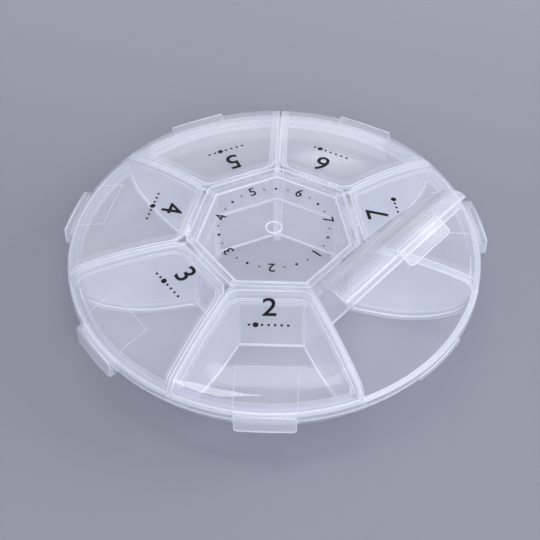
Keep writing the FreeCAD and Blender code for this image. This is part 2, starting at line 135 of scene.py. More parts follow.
def dome_level(radius, depth=0.0):
    """The height of the lids' outside, or of a layer below it, at a distance from the middle."""
    width = RIM_RADIUS - SHOULDER - FLAT_RADIUS
    height = CROWN_HEIGHT - SEAM_HEIGHT
    dome = (width**2 + height**2 - SHOULDER**2) / (2 * (height - SHOULDER))
    if radius <= FLAT_RADIUS:
        return CROWN_HEIGHT - depth
    if radius <= FLAT_RADIUS + (dome - depth) * width / (dome - SHOULDER):
        return CROWN_HEIGHT - dome + math.sqrt((dome - depth) ** 2 - (radius - FLAT_RADIUS) ** 2)
    reach = SHOULDER - depth
    across = min(radius - (RIM_RADIUS - SHOULDER), reach)
    return SEAM_HEIGHT + math.sqrt(reach**2 - across**2)


def bowl_level(radius):
    """The height of the tray's inside at a distance from the middle."""
    if radius <= FOOT_RADIUS:
        return FLOOR
    width = RIM_INNER - BOWL_CORNER - FOOT_RADIUS
    height = RIM_TOP - FLOOR
    bowl = (width**2 + height**2 - BOWL_CORNER**2) / (2 * (height - BOWL_CORNER))
    if radius <= FOOT_RADIUS + bowl * width / (bowl - BOWL_CORNER):
        return FLOOR + bowl - math.sqrt(bowl**2 - (radius - FOOT_RADIUS) ** 2)
    across = min(radius - (RIM_INNER - BOWL_CORNER), BOWL_CORNER)
    return RIM_TOP - math.sqrt(BOWL_CORNER**2 - across**2)


# --- shader node helpers --------------------------------------------------------------


def new_material(name):
    material = bpy.data.materials.new(name)
    material.use_nodes = True
    nodes = material.node_tree.nodes
    return material, nodes, material.node_tree.links, nodes["Principled BSDF"]


def set_or_link(links, socket, value):
    """Gives a socket a number, or links it to another node's output."""
    if isinstance(value, (int, float)):
        socket.default_value = value
    else:
        links.new(value, socket)


def add_noise(nodes, links, coordinates, scale, detail=2.0):
    node = nodes.new("ShaderNodeTexNoise")
    set_or_link(links, node.inputs["Scale"], scale)
    node.inputs["Detail"].default_value = detail
    links.new(coordinates, node.inputs["Vector"])
    return node.outputs["Fac"]


def remap(nodes, links, value, low, high, out_low, out_high):
    node = nodes.new("ShaderNodeMapRange")
    for name, number in (
        ("Value", value), ("From Min", low), ("From Max", high),
        ("To Min", out_low), ("To Max", out_high),
    ):
        set_or_link(links, node.inputs[name], number)
    return node.outputs["Result"]


def calculate(nodes, links, operation, first, second):
    node = nodes.new("ShaderNodeMath")
    node.operation = operation
    set_or_link(links, node.inputs[0], first)
    set_or_link(links, node.inputs[1], second)
    return node.outputs[0]


def mix_colours(nodes, links, factor, first, second):
    node = nodes.new("ShaderNodeMix")
    node.data_type = "RGBA"
    links.new(factor, node.inputs["Factor"])
    for name, colour in (("A", first), ("B", second)):
        socket = next(i for i in node.inputs if i.name == name and i.type == "RGBA")
        if isinstance(colour, tuple):
            socket.default_value = (*colour, 1.0)
        else:
            links.new(colour, socket)
    return next(o for o in node.outputs if o.type == "RGBA")


# --- finishes -------------------------------------------------------------------------

CLEAR_COLOUR = (0.835, 0.865, 0.98)
MILKY_COLOUR = (0.88, 0.90, 0.99)
EDGE_COLOUR = (0.88, 0.90, 0.96)
LID_CLEARNESS = (0.888, 0.912)
TRAY_CLEARNESS = (0.872, 0.898)
EDGE_CLEARNESS = (0.30, 0.40)
CORNER_CLEARNESS = (0.06, 0.12)
LID_SHINE = (0.07, 0.13)
OPEN_LID_SHINE = (0.18, 0.26)
TRAY_SHINE = (0.14, 0.22)
EDGE_SHINE = (0.3, 0.4)
MILK_ROUGHNESS = 0.35
BODY_IOR = 1.49
GLOSS_IOR = 1.45
LEAST_FACING = 0.07
CLOUD_SCALE = 55.0
CLOUD_RANGE = (0.35, 0.65)
WEAR_SCALE = 110.0
WEAR_RANGE = (0.35, 0.7)
RIPPLE_SCALE = 45.0
RIPPLE_STRENGTH = 0.05
RIPPLE_DEPTH = 0.4 * MM
SHADOW_PALENESS = 0.7
BAND_SOFTNESS = 0.2 * MM
RIM_SOFTNESS = 0.5 * MM
FAR_AWAY = 1.0

# Where a wall counts as thicker: along a lid's straight edges, over the cap's skirt,
# beside the dividers, and at the rims. Heights and distances at FAR_AWAY switch a test off.
LID_BANDS = {
    "Near Edge": LID_EDGE - HALF_SLIT, "Near Sign": 1.0,
    "Band Width": HALF_SLIT + RIB_INNER, "Band Extra": 1.0,
    "Rim Height": SEAM_HEIGHT + 0.7 * MM, "Rim Extra": 1.6,
}
# The open lid keeps only a little of the rim's real extra plastic; the rest is cut as painted
# shade, against the stronger light on the standing lid and its tab.
OPEN_LID_PAINTED_SHADE_BANDS = {**LID_BANDS, "Rim Extra": 0.3}
CAP_BANDS = {
    "Near Edge": CAP_APOTHEM, "Near Sign": -1.0, "Side Offset": FAR_AWAY,
    "Band Width": CAP_APOTHEM - SKIRT_INNER - 0.6 * MM, "Band Extra": 0.9,
}
TRAY_BANDS = {
    "Hub Radius": COLUMN_OUTER, "Near Edge": -FAR_AWAY, "Near Sign": 1.0,
    "Band Width": DIVIDER_SIDE + BAND_SOFTNESS, "Band Extra": 3.2,
    "Rim Radius": RIM_INNER, "Rim Height": FAR_AWAY, "Rim Extra": 0.7,
}


def moulded_surface_group():
    """Milky mottling, uneven gloss and the faint ripple of a moulded surface."""
    group = bpy.data.node_groups.new("moulded surface", "ShaderNodeTree")
    face = group.interface
    for name, kind in (
        ("Clear Colour", "Color"), ("Milky Colour", "Color"),
        ("Least Clear", "Float"), ("Most Clear", "Float"),
        ("Least Rough", "Float"), ("Most Rough", "Float"), ("Ripple Scale", "Float"),
    ):
        face.new_socket(name, in_out="INPUT", socket_type=f"NodeSocket{kind}")
    for name, kind in (
        ("Colour", "Color"), ("Clearness", "Float"), ("Roughness", "Float"), ("Height", "Float"),
    ):
        face.new_socket(name, in_out="OUTPUT", socket_type=f"NodeSocket{kind}")
    nodes, links = group.nodes, group.links
    given = nodes.new("NodeGroupInput").outputs
    result = nodes.new("NodeGroupOutput").inputs
    place = nodes.new("ShaderNodeTexCoord").outputs["Object"]

    cloud = add_noise(nodes, links, place, CLOUD_SCALE, 3.0)
    milk = remap(nodes, links, cloud, *CLOUD_RANGE, 0.0, 1.0)
    colour = mix_colours(nodes, links, milk, given["Clear Colour"], given["Milky Colour"])
    links.new(colour, result["Colour"])
    clear = remap(nodes, links, cloud, *CLOUD_RANGE, given["Most Clear"], given["Least Clear"])
    links.new(clear, result["Clearness"])

    handled = add_noise(nodes, links, place, WEAR_SCALE)
    rough = remap(nodes, links, handled, *WEAR_RANGE, given["Least Rough"], given["Most Rough"])
    links.new(rough, result["Roughness"])

    links.new(add_noise(nodes, links, place, given["Ripple Scale"], 1.0), result["Height"])
    return group


def plastic_depth_group():
    """How much plastic there is in place of one plain wall: more at the ribs and at the rim."""
    group = bpy.data.node_groups.new("plastic depth", "ShaderNodeTree")
    face = group.interface
    face.new_socket("Vector", in_out="INPUT", socket_type="NodeSocketVector")
    for name in (
        "Hub Radius", "Near Edge", "Near Sign", "Side Offset", "Band Width", "Band Extra",
        "Rim Radius", "Rim Height", "Rim Extra",
    ):
        face.new_socket(name, in_out="INPUT", socket_type="NodeSocketFloat")
    face.new_socket("Depth", in_out="OUTPUT", socket_type="NodeSocketFloat")
    nodes, links = group.nodes, group.links
    given = nodes.new("NodeGroupInput").outputs
    result = nodes.new("NodeGroupOutput").inputs
    axes = nodes.new("ShaderNodeSeparateXYZ")
    links.new(given["Vector"], axes.inputs["Vector"])
    x, y = axes.outputs["X"], axes.outputs["Y"]

    def step(operation, first, second=0.0):
        return calculate(nodes, links, operation, first, second)

    def soften(value, low, high, start, end):
        eased = remap(nodes, links, value, low, high, start, end)
        eased.node.interpolation_type = "SMOOTHSTEP"
        return eased

    radius = step("SQRT", step("ADD", step("MULTIPLY", x, x), step("MULTIPLY", y, y)))
    turned = step("SUBTRACT", step("ARCTAN2", y, x), lid_azimuth(DAYS[FRONT_DAY]))
    fold = step("PINGPONG", turned, HALF_SECTOR)
    side = step("MULTIPLY", radius, step("SINE", step("SUBTRACT", HALF_SECTOR, fold)))
    side = step("ADD", side, given["Side Offset"])
    near = step("SUBTRACT", step("MULTIPLY", radius, step("COSINE", fold)), given["Near Edge"])
    near = step("MULTIPLY", near, given["Near Sign"])
    edge = step("MINIMUM", side, near)
    inner = step("SUBTRACT", given["Band Width"], BAND_SOFTNESS)
    outer = step("ADD", given["Band Width"], BAND_SOFTNESS)
    band = step("MULTIPLY", soften(edge, inner, outer, 1.0, 0.0), given["Band Extra"])
    band = step("MULTIPLY", band, step("GREATER_THAN", radius, given["Hub Radius"]))
    above = step("ADD", given["Rim Height"], RIM_SOFTNESS)
    low = soften(axes.outputs["Z"], given["Rim Height"], above, 1.0, 0.0)
    rim = step("MULTIPLY", low, step("GREATER_THAN", radius, given["Rim Radius"]))
    rim = step("MULTIPLY", rim, given["Rim Extra"])
    links.new(step("ADD", 1.0, step("MAXIMUM", band, rim)), result["Depth"])
    return group


def add_surface(nodes, surface, colours, clearness, shine):
    """The moulded surface, from its clearest to its milkiest and its glossiest to its dullest."""
    node = nodes.new("ShaderNodeGroup")
    node.node_tree = surface
    for name, colour in zip(("Clear Colour", "Milky Colour"), colours):
        node.inputs[name].default_value = (*colour, 1.0)
    node.inputs["Least Clear"].default_value, node.inputs["Most Clear"].default_value = clearness
    node.inputs["Least Rough"].default_value, node.inputs["Most Rough"].default_value = shine
    node.inputs["Ripple Scale"].default_value = RIPPLE_SCALE
    return node


def look_straightness(nodes, links):
    """1 where the look meets the surface straight on, 0 where it only grazes it."""
    slant = nodes.new("ShaderNodeLayerWeight")
    slant.inputs["Blend"].default_value = 0.5
    return calculate(nodes, links, "SUBTRACT", 1.0, slant.outputs["Facing"])


def milky_haze(nodes, links, clearness, path):
    """How much light a milky wall holds back; less in its shadow, since it scatters onwards."""
    passed = calculate(nodes, links, "POWER", clearness, path)
    haze = calculate(nodes, links, "SUBTRACT", 1.0, passed)
    ray = nodes.new("ShaderNodeLightPath").outputs["Is Shadow Ray"]
    shade = calculate(nodes, links, "MULTIPLY", ray, SHADOW_PALENESS)
    kept = calculate(nodes, links, "SUBTRACT", 1.0, shade)
    return calculate(nodes, links, "MULTIPLY", haze, kept)


def polypropylene(name, surface, depth, clearness, shine, bands, place=None):
    """A thin milky wall: the more slanted the look through it, the more white it scatters."""
    material, nodes, links, body = new_material(name)
    group = add_surface(nodes, surface, (CLEAR_COLOUR, MILKY_COLOUR), clearness, shine)
    links.new(group.outputs["Colour"], body.inputs["Base Color"])
    body.inputs["Roughness"].default_value = MILK_ROUGHNESS
    body.inputs["IOR"].default_value = BODY_IOR

    facing = look_straightness(nodes, links)
    facing = calculate(nodes, links, "MAXIMUM", facing, LEAST_FACING)
    coordinates = nodes.new("ShaderNodeTexCoord").outputs["Object"]
    if place:
        shut = place.inverted()
        mapping = nodes.new("ShaderNodeMapping")
        mapping.inputs["Location"].default_value = shut.to_translation()
        mapping.inputs["Rotation"].default_value = shut.to_euler()
        links.new(coordinates, mapping.inputs["Vector"])
        coordinates = mapping.outputs["Vector"]
    local = nodes.new("ShaderNodeGroup")
    local.node_tree = depth
    links.new(coordinates, local.inputs["Vector"])
    for socket, value in bands.items():
        local.inputs[socket].default_value = value
    path = calculate(nodes, links, "DIVIDE", local.outputs["Depth"], facing)
    haze = milky_haze(nodes, links, group.outputs["Clearness"], path)
    links.new(haze, body.inputs["Alpha"])

    bump = nodes.new("ShaderNodeBump")
    bump.inputs["Strength"].default_value = RIPPLE_STRENGTH
    bump.inputs["Distance"].default_value = RIPPLE_DEPTH
    links.new(group.outputs["Height"], bump.inputs["Height"])
    links.new(bump.outputs["Normal"], body.inputs["Normal"])

    gloss = nodes.new("ShaderNodeBsdfGlossy")
    links.new(group.outputs["Roughness"], gloss.inputs["Roughness"])
    links.new(bump.outputs["Normal"], gloss.inputs["Normal"])
    mirror = nodes.new("ShaderNodeFresnel")
    mirror.inputs["IOR"].default_value = GLOSS_IOR
    inside = nodes.new("ShaderNodeNewGeometry").outputs["Backfacing"]
    outside = calculate(nodes, links, "SUBTRACT", 1.0, inside)
    share = calculate(nodes, links, "MULTIPLY", mirror.outputs["Fac"], outside)
    both = nodes.new("ShaderNodeMixShader")
    links.new(share, both.inputs["Fac"])
    links.new(body.outputs["BSDF"], both.inputs[1])
    links.new(gloss.outputs["BSDF"], both.inputs[2])
    links.new(both.outputs["Shader"], nodes["Material Output"].inputs["Surface"])
    return material


def thick_polypropylene(name, surface, clearness):
    """The heart of a bead of plastic: milkiest where the look through it is longest."""
    material, nodes, links, body = new_material(name)
    group = add_surface(nodes, surface, (EDGE_COLOUR, EDGE_COLOUR), clearness, EDGE_SHINE)
    links.new(group.outputs["Colour"], body.inputs["Base Color"])
    links.new(group.outputs["Roughness"], body.inputs["Roughness"])
    body.inputs["Specular IOR Level"].default_value = 0.0
    facing = look_straightness(nodes, links)
    haze = milky_haze(nodes, links, group.outputs["Clearness"], facing)
    links.new(haze, body.inputs["Alpha"])
    return material


def black_ink():
    material, nodes, links, body = new_material("black ink")
    place = nodes.new("ShaderNodeTexCoord").outputs["Object"]
    patchy = add_noise(nodes, links, place, 900.0, 3.0)
    colour = mix_colours(nodes, links, patchy, (0.004, 0.004, 0.005), (0.012, 0.012, 0.015))
    links.new(colour, body.inputs["Base Color"])
    links.new(remap(nodes, links, patchy, 0.3, 0.7, 0.38, 0.5), body.inputs["Roughness"])
    body.inputs["Specular IOR Level"].default_value = 0.2
    return material


# --- geometry node trees --------------------------------------------------------------


def new_tree(name, sockets):
    """An empty geometry tree with named inputs; returns it with its nodes, links and ends."""
    tree = bpy.data.node_groups.new(name, "GeometryNodeTree")
    tree.interface.new_socket("Geometry", in_out="INPUT", socket_type="NodeSocketGeometry")
    for label, kind in sockets:
        tree.interface.new_socket(label, in_out="INPUT", socket_type=f"NodeSocket{kind}")
    tree.interface.new_socket("Geometry", in_out="OUTPUT", socket_type="NodeSocketGeometry")
    given = tree.nodes.new("NodeGroupInput").outputs
    result = tree.nodes.new("NodeGroupOutput").inputs
    return tree, tree.nodes, tree.links, given, result


def close_tree(tree, nodes, links, given, result, geometry):
    """Ends a tree in real geometry with its material."""
    real = nodes.new("GeometryNodeRealizeInstances")
    links.new(geometry, real.inputs["Geometry"])
    coat = nodes.new("GeometryNodeSetMaterial")
    links.new(real.outputs["Geometry"], coat.inputs["Geometry"])
    links.new(given["Material"], coat.inputs["Material"])
    links.new(coat.outputs["Geometry"], result["Geometry"])
    return tree


def edge_bead_tree():
    """Lays a fine round bead along lines: the fillets and rounded edges of a moulding."""
    tree, nodes, links, given, result = new_tree(
        "moulded edge", [("Radius Factor", "Float"), ("Sides", "Int"), ("Material", "Material")]
    )
    line = nodes.new("GeometryNodeMeshToCurve")
    links.new(given["Geometry"], line.inputs["Mesh"])
    thickness = nodes.new("GeometryNodeInputNamedAttribute")
    thickness.inputs["Name"].default_value = "edge_radius"
    size = nodes.new("ShaderNodeMath")
    size.operation = "MULTIPLY"
    links.new(thickness.outputs["Attribute"], size.inputs[0])
    links.new(given["Radius Factor"], size.inputs[1])
    ring = nodes.new("GeometryNodeCurvePrimitiveCircle")
    ring.inputs["Radius"].default_value = 1.0
    links.new(given["Sides"], ring.inputs["Resolution"])
    sweep = nodes.new("GeometryNodeCurveToMesh")
    sweep.inputs["Fill Caps"].default_value = True
    links.new(line.outputs["Curve"], sweep.inputs["Curve"])
    links.new(ring.outputs["Curve"], sweep.inputs["Profile Curve"])
    links.new(size.outputs[0], sweep.inputs["Scale"])
    smooth = nodes.new("GeometryNodeSetShadeSmooth")
    links.new(sweep.outputs["Mesh"], smooth.inputs["Geometry"])
    return close_tree(tree, nodes, links, given, result, smooth.outputs["Geometry"])


def dot_tree():
    """Puts a round dot on each point, larger where the point is marked."""
    tree, nodes, links, given, result = new_tree(
        "printed dots",
        [("Dot Radius", "Float"), ("Marked Factor", "Float"), ("Material", "Material")],
    )
    disc = nodes.new("GeometryNodeMeshCircle")
    disc.fill_type = "NGON"
    disc.inputs["Vertices"].default_value = 20
    links.new(given["Dot Radius"], disc.inputs["Radius"])
    marked = nodes.new("GeometryNodeInputNamedAttribute")
    marked.inputs["Name"].default_value = "marked"
    size = nodes.new("ShaderNodeMapRange")
    size.inputs["To Min"].default_value = 1.0
    links.new(marked.outputs["Attribute"], size.inputs["Value"])
    links.new(given["Marked Factor"], size.inputs["To Max"])
    copies = nodes.new("GeometryNodeInstanceOnPoints")
    links.new(given["Geometry"], copies.inputs["Points"])
    links.new(disc.outputs["Mesh"], copies.inputs["Instance"])
    links.new(size.outputs["Result"], copies.inputs["Scale"])
    return close_tree(tree, nodes, links, given, result, copies.outputs["Instances"])


def grow(name, source, tree, settings):
    """Runs a tree on a mesh and returns the result as a plain mesh."""
    item = bpy.data.objects.new(name, source)
    bpy.context.scene.collection.objects.link(item)
    modifier = item.modifiers.new(tree.name, "NODES")
    modifier.node_group = tree
    for socket in tree.interface.items_tree:
        if socket.in_out == "INPUT" and socket.name in settings:
            modifier[socket.identifier] = settings[socket.name]
    item.update_tag()
    graph = bpy.context.evaluated_depsgraph_get()
    mesh = bpy.data.meshes.new_from_object(item.evaluated_get(graph))
    bpy.data.objects.remove(item)
    mesh.name = name
    return mesh


# --- mesh helpers ---------------------------------------------------------------------


def add_piece(name, mesh, material, body):
    piece = bpy.data.objects.new(name, mesh)
    bpy.context.scene.collection.objects.link(piece)
    mesh.materials.clear()
    mesh.materials.append(material)
    if body:
        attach(piece, body)
    return piece


def band_mesh(name, rows):
    """A closed band from a list of cross-section loops."""
    mesh = bpy.data.meshes.new(name)
    work = bmesh.new()
    loops = [[work.verts.new(p) for p in row] for row in rows]
    for first, second in zip(loops, loops[1:]):
        for k in range(len(first)):
            n = (k + 1) % len(first)
            work.faces.new((first[k], first[n], second[n], second[k]))
    work.faces.new(list(reversed(loops[0])))
    work.faces.new(loops[-1])
    bmesh.ops.recalc_face_normals(work, faces=work.faces)
    work.to_mesh(mesh)
    work.free()
    return mesh


class Lines:
    """Lines in space, each with the radius of the bead that will lie along it."""

    def __init__(self):
        self.points, self.edges, self.radii = [], [], []

    def add(self, points, radius, place=Matrix.Identity(4), closed=False):
        first = len(self.points)
        self.points += [place @ Vector(p) for p in points]
        self.radii += [radius] * len(points)
        last = len(self.points) - 1
        self.edges += [(k, k + 1) for k in range(first, last)]
        if closed:
            self.edges.append((last, first))

    def mesh(self, name):
        mesh = bpy.data.meshes.new(name)
        mesh.from_pydata(self.points, self.edges, [])
        radius = mesh.attributes.new("edge_radius", "FLOAT", "POINT")
        radius.data.foreach_set("value", self.radii)
        return mesh


def spread(low, high, count):
    return [low + (high - low) * k / (count - 1) for k in range(count)]


# --- moulded edges --------------------------------------------------------------------

FILLET = 0.24 * MM
CORNER = 0.38 * MM
EDGE_BEAD = 0.3 * MM
FINE_BEAD = 0.17 * MM
RIM_BEAD = 0.22 * MM
SEAM_BEAD = 0.38 * MM
WITNESS = 0.05 * MM
BEAD_SIDES = 8
SKIN = 0.05 * MM
SKIRT_LINE = SKIRT_BOTTOM + 0.4 * MM
TAB_CORNER = 0.8 * MM
INSERT_END = 45.2 * MM


def ring_points(radius, height, count=168):
    turns = [2 * math.pi * k / count for k in range(count)]
    return [(radius * math.cos(t), radius * math.sin(t), height) for t in turns]


def arc_points(radius, height, half_angle, count=24):
    turns = spread(-half_angle, half_angle, count)
    return [(radius * math.cos(t), radius * math.sin(t), height) for t in turns]


def heptagon_points(apothem, height):
    reach = apothem / math.cos(HALF_SECTOR)
    turns = [math.radians(90) - SECTOR * k for k in range(len(DAYS))]
    return [(reach * math.cos(t), reach * math.sin(t), height) for t in turns]


def add_upright_corners(lines, apothem, low, high, radius):
    for foot, top in zip(heptagon_points(apothem, low), heptagon_points(apothem, high)):
        lines.add([foot, top], radius)


def divider_run():
    return spread(COLUMN_OUTER / math.cos(HALF_SECTOR), RIM_INNER - SKIN, 30)


def add_divider_feet(lines):
    """The fillets where each divider grows out of the bowl."""
    for side in (-DIVIDER_SIDE, DIVIDER_SIDE):
        foot = [(x, side, bowl_level(x)) for x in divider_run()]
        for k in range(len(DAYS)):
            lines.add(foot, FILLET, divider_place(k))


def add_divider_tops(lines):
    top = [(x, 0, dome_level(x, DIVIDER_TOP) - EDGE_BEAD) for x in divider_run()]
    for k in range(len(DAYS)):
        lines.add(top, EDGE_BEAD, divider_place(k))


def add_column_lines(lines):
    """The corners of the column and where it meets the floor."""
    middle = (COLUMN_OUTER + COLUMN_INNER) / 2
    lines.add(heptagon_points(middle, FLOOR), CORNER, closed=True)
    add_upright_corners(lines, middle, FLOOR, SKIRT_BOTTOM, CORNER)


def add_rim_lines(lines):
    """The rounded edges of the tray's rim and of the collar below it."""
    upper = RIM_TOP - RIM_BEAD
    lower = RIM_TOP - FLANGE_HEIGHT + FINE_BEAD
    for radius, height, bead in (
        (RIM_INNER + RIM_BEAD, upper, RIM_BEAD), (RIM_RADIUS - RIM_BEAD, upper, RIM_BEAD),
        ((RIM_INNER + RIM_RADIUS) / 2, RIM_TOP - EDGE_BEAD, EDGE_BEAD),
        (RIM_RADIUS - FINE_BEAD, lower, FINE_BEAD),
    ):
        lines.add(ring_points(radius, height), bead, closed=True)


def add_cap_lines(lines):
    """The cap's edge, the skirt below it and the small ring in its middle."""
    edge = CROWN_HEIGHT - FINE_BEAD
    lines.add(heptagon_points(CAP_APOTHEM - FINE_BEAD, edge), FINE_BEAD, closed=True)
    middle = (SKIRT_OUTER + SKIRT_INNER) / 2
    lines.add(heptagon_points(middle, SKIRT_LINE), CORNER, closed=True)
    lines.add(heptagon_points(middle, CAP_UNDERSIDE), CORNER, closed=True)
    add_upright_corners(lines, middle, SKIRT_LINE, CAP_UNDERSIDE, CORNER)
    lines.add(ring_points(GATE_RADIUS, GATE_HEIGHT, 40), GATE_BEAD, closed=True)


def side_half_width(distance, inset):
    return distance * math.tan(HALF_SECTOR) - (HALF_SLIT + inset) / math.cos(HALF_SECTOR)


def lid_outline(inset, end_radius):
    """The plan of a lid's three straight edges, from one end at the rim to the other."""
    near = LID_EDGE + inset
    turned = near + CORNER_RELIEF
    far = end_radius * math.cos(HALF_SECTOR)
    step = 0.01 * MM
    while math.hypot(far, side_half_width(far, inset)) < end_radius:
        far += step
    side = spread(turned, far - step, 26)
    half = [(x, side_half_width(x, inset)) for x in side]
    tip = side_half_width(near, inset) - CORNER_RELIEF
    upper = [(near, tip), *half]
    return [(x, -y) for x, y in reversed(upper)] + upper


def add_lid_lines(lines):
    """The rounded edges of a shut lid that faces +X, the rib below them and the lip."""
    for inset, depth, radius in (
        (FINE_BEAD, FINE_BEAD, FINE_BEAD),
        (RIB_OUTER + FINE_BEAD, RIB_BOTTOM - FINE_BEAD, FINE_BEAD),
        (RIB_INNER - FINE_BEAD, RIB_BOTTOM - FINE_BEAD, FINE_BEAD),
    ):
        plan = lid_outline(inset, RIM_RADIUS - depth - radius)
        points = [(x, y, dome_level(math.hypot(x, y), depth)) for x, y in plan]
        lines.add(points, radius)
    slit = HALF_SECTOR - math.asin((HALF_SLIT + SEAM_BEAD) / RIM_RADIUS)
    seam = SEAM_HEIGHT + SEAM_BEAD
    lines.add(arc_points(RIM_RADIUS - SEAM_BEAD - SKIN, seam, slit), SEAM_BEAD)
    ribbed = HALF_SECTOR - math.asin((HALF_SLIT + RIB_INNER) / RIM_RADIUS)
    lip = sum(PLUG_RADII) / 2
    lines.add(arc_points(lip, PLUG_BOTTOM + EDGE_BEAD, ribbed), EDGE_BEAD)


def add_tab_lines(lines):
    """The rounded edge of the snap tab and the outline that its mould insert leaves."""
    reach = TAB_HALF - FINE_BEAD
    foot = TAB_BOTTOM + FINE_BEAD
    rounded = [
        (reach - TAB_CORNER * (1 - math.cos(t)), foot + TAB_CORNER * (1 - math.sin(t)))
        for t in spread(0, math.pi / 2, 6)
    ]
    left = [(-y, z) for y, z in reversed(rounded)]
    upper = TAB_TOP - FINE_BEAD
    front = [(reach, upper), *rounded, *left, (-reach, upper)]
    surface = TAB_OUTER - FINE_BEAD
    tab = [(math.sqrt(surface**2 - y * y), y, z) for y, z in front]
    lines.add(tab, FINE_BEAD, closed=True)
    for side in (-TAB_HALF, TAB_HALF):
        run = spread(INSERT_START, INSERT_END, 16)
        lines.add([(r, side, dome_level(math.hypot(r, side))) for r in run], WITNESS)
    across = spread(-TAB_HALF, TAB_HALF, 10)
    lines.add(
        [(INSERT_START, y, dome_level(math.hypot(INSERT_START, y))) for y in across], WITNESS
    )


def make_edges(tree, plastic, corner_plastic):
    settings = {"Radius Factor": 1.0, "Sides": BEAD_SIDES}
    corners, rim, cap, lid = Lines(), Lines(), Lines(), Lines()
    add_divider_feet(corners)
    add_column_lines(corners)
    add_divider_tops(rim)
    add_rim_lines(rim)
    add_cap_lines(cap)
    add_lid_lines(lid)
    add_tab_lines(lid)
    for name, lines, material, slot in (
        ("tray_corners", corners, corner_plastic, "tray_plastic"),
        ("tray_rim", rim, plastic, "tray_plastic"),
        ("cap_edges", cap, plastic, "lid_plastic"),
    ):
        mesh = grow(name, lines.mesh(name), tree, settings | {"Material": material})
        add_piece(name, mesh, material, TRAY_BODY)
    for day in DAYS:
        name = f"lid_edges_{day}"
        mesh = grow(name, lid.mesh(name), tree, settings | {"Material": plastic})
        mesh.transform(lid_place(day))
        add_piece(name, mesh, plastic, f"lid_{day}")


# --- the webs -------------------------------------------------------------------------

WEB_STEPS = 12
WEB_WAIST = 0.8


def web_mesh(day):
    """The web between cap and lid: level for a shut lid, an arc for the one that stands open."""
    half = CAP_APOTHEM * math.tan(HALF_SECTOR) - WEB_END_INSET / math.cos(HALF_SECTOR)
    angle = OPEN_ANGLE if day == OPEN_DAY else 0.0
    turn = Matrix.Rotation(lid_azimuth(day), 4, "Z")
    rows = []
    for share in spread(0, 1, WEB_STEPS + 1):
        lean = angle * share
        x = CAP_APOTHEM + HINGE_GAP * share
        z = HINGE_HEIGHT
        if angle:
            bend = HINGE_GAP / 2 / math.tan(angle / 2)
            x = CAP_APOTHEM + bend * math.sin(lean)
            z = HINGE_HEIGHT + bend * (1 - math.cos(lean))
        thinned = WEB_WAIST + (1 - WEB_WAIST) * (2 * share - 1) ** 2
        out = Vector((-math.sin(lean), 0, math.cos(lean))) * WEB_THICKNESS * thinned / 2
        corners = ((1, -half), (1, half), (-1, half), (-1, -half))
        rows.append([turn @ (Vector((x, y, z)) + out * side) for side, y in corners])
    return band_mesh(f"web_{day}", rows)


def make_webs(plastic):
    for day in DAYS:
        mesh = web_mesh(day)
        for polygon in mesh.polygons:
            polygon.use_smooth = True
        web = add_piece(f"web_{day}", mesh, plastic, None)
        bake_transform(web)
        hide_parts(f"hinge_web_{day}")


# --- the prints -----------------------------------------------------------------------

PRINT_DEPTH = 0.03 * MM
PRINT_LIFT = 0.015 * MM
PRINT_EDGE = 0.8 * MM
DIGIT_HEIGHT = 4.8 * MM
DIGIT_RADIUS = 23.3 * MM
DIGIT_WEIGHT = 0.009
ROW_RADIUS = 28.0 * MM
ROW_SPACING = 1.35 * MM
ROW_DOT = 0.28 * MM
ROW_MARK = 2.2
DIAL_DIGIT_HEIGHT = 2.4 * MM
DIAL_RADIUS = 12.2 * MM
DIAL_DOT = 0.2 * MM
DIAL_MARK = 1.6
DIAL_STEPS = 4


def embolden(mesh, width):
    """Moves the outline of a flat triangulated shape outwards, each side parallel to itself."""
    work = bmesh.new()
    work.from_mesh(mesh)
    bmesh.ops.remove_doubles(work, verts=work.verts, dist=1e-5)
    normals = {}
    for edge in work.edges:
        if not edge.is_boundary:
            continue
        start, end = edge.verts
        along = end.co - start.co
        normal = Vector((along.y, -along.x, 0)).normalized()
        inwards = edge.link_faces[0].calc_center_median() - start.co
        if normal.dot(inwards) > 0:
            normal.negate()
        for vertex in edge.verts:
            normals.setdefault(vertex, []).append(normal)
    for vertex, sides in normals.items():
        total = sum(sides, Vector())
        vertex.co += 2 * width * total / total.length_squared
    work.to_mesh(mesh)
    work.free()


def digit_mesh(text, height):
    """A digit in plan, its top towards +Y, centred on the origin."""
    curve = bpy.data.curves.new("digit", "FONT")
    curve.body = text
    curve.resolution_u = 6
    source = bpy.data.objects.new("digit", curve)
    bpy.context.scene.collection.objects.link(source)
    graph = bpy.context.evaluated_depsgraph_get()
    mesh = bpy.data.meshes.new_from_object(source.evaluated_get(graph))
    bpy.data.objects.remove(source)
    embolden(mesh, DIGIT_WEIGHT)
    xs, ys = ([v.co[axis] for v in mesh.vertices] for axis in (0, 1))
    middle = Vector(((max(xs) + min(xs)) / 2, (max(ys) + min(ys)) / 2, 0))
    scale = height / (max(ys) - min(ys))
    mesh.transform(Matrix.Scale(scale, 4) @ Matrix.Translation(-middle))
    return mesh


def dots_mesh(name, points, marked, radius, factor, tree, ink):
    source = bpy.data.meshes.new(name)
    source.from_pydata(points, [], [])
    mark = source.attributes.new("marked", "FLOAT", "POINT")
    mark.data.foreach_set("value", marked)
    settings = {"Dot Radius": radius, "Marked Factor": factor, "Material": ink}
    return grow(name, source, tree, settings)


def joined(name, meshes):
    """Several meshes as one."""
    work = bmesh.new()
    for mesh in meshes:
        work.from_mesh(mesh)
    result = bpy.data.meshes.new(name)
    work.to_mesh(result)
    work.free()
    return result


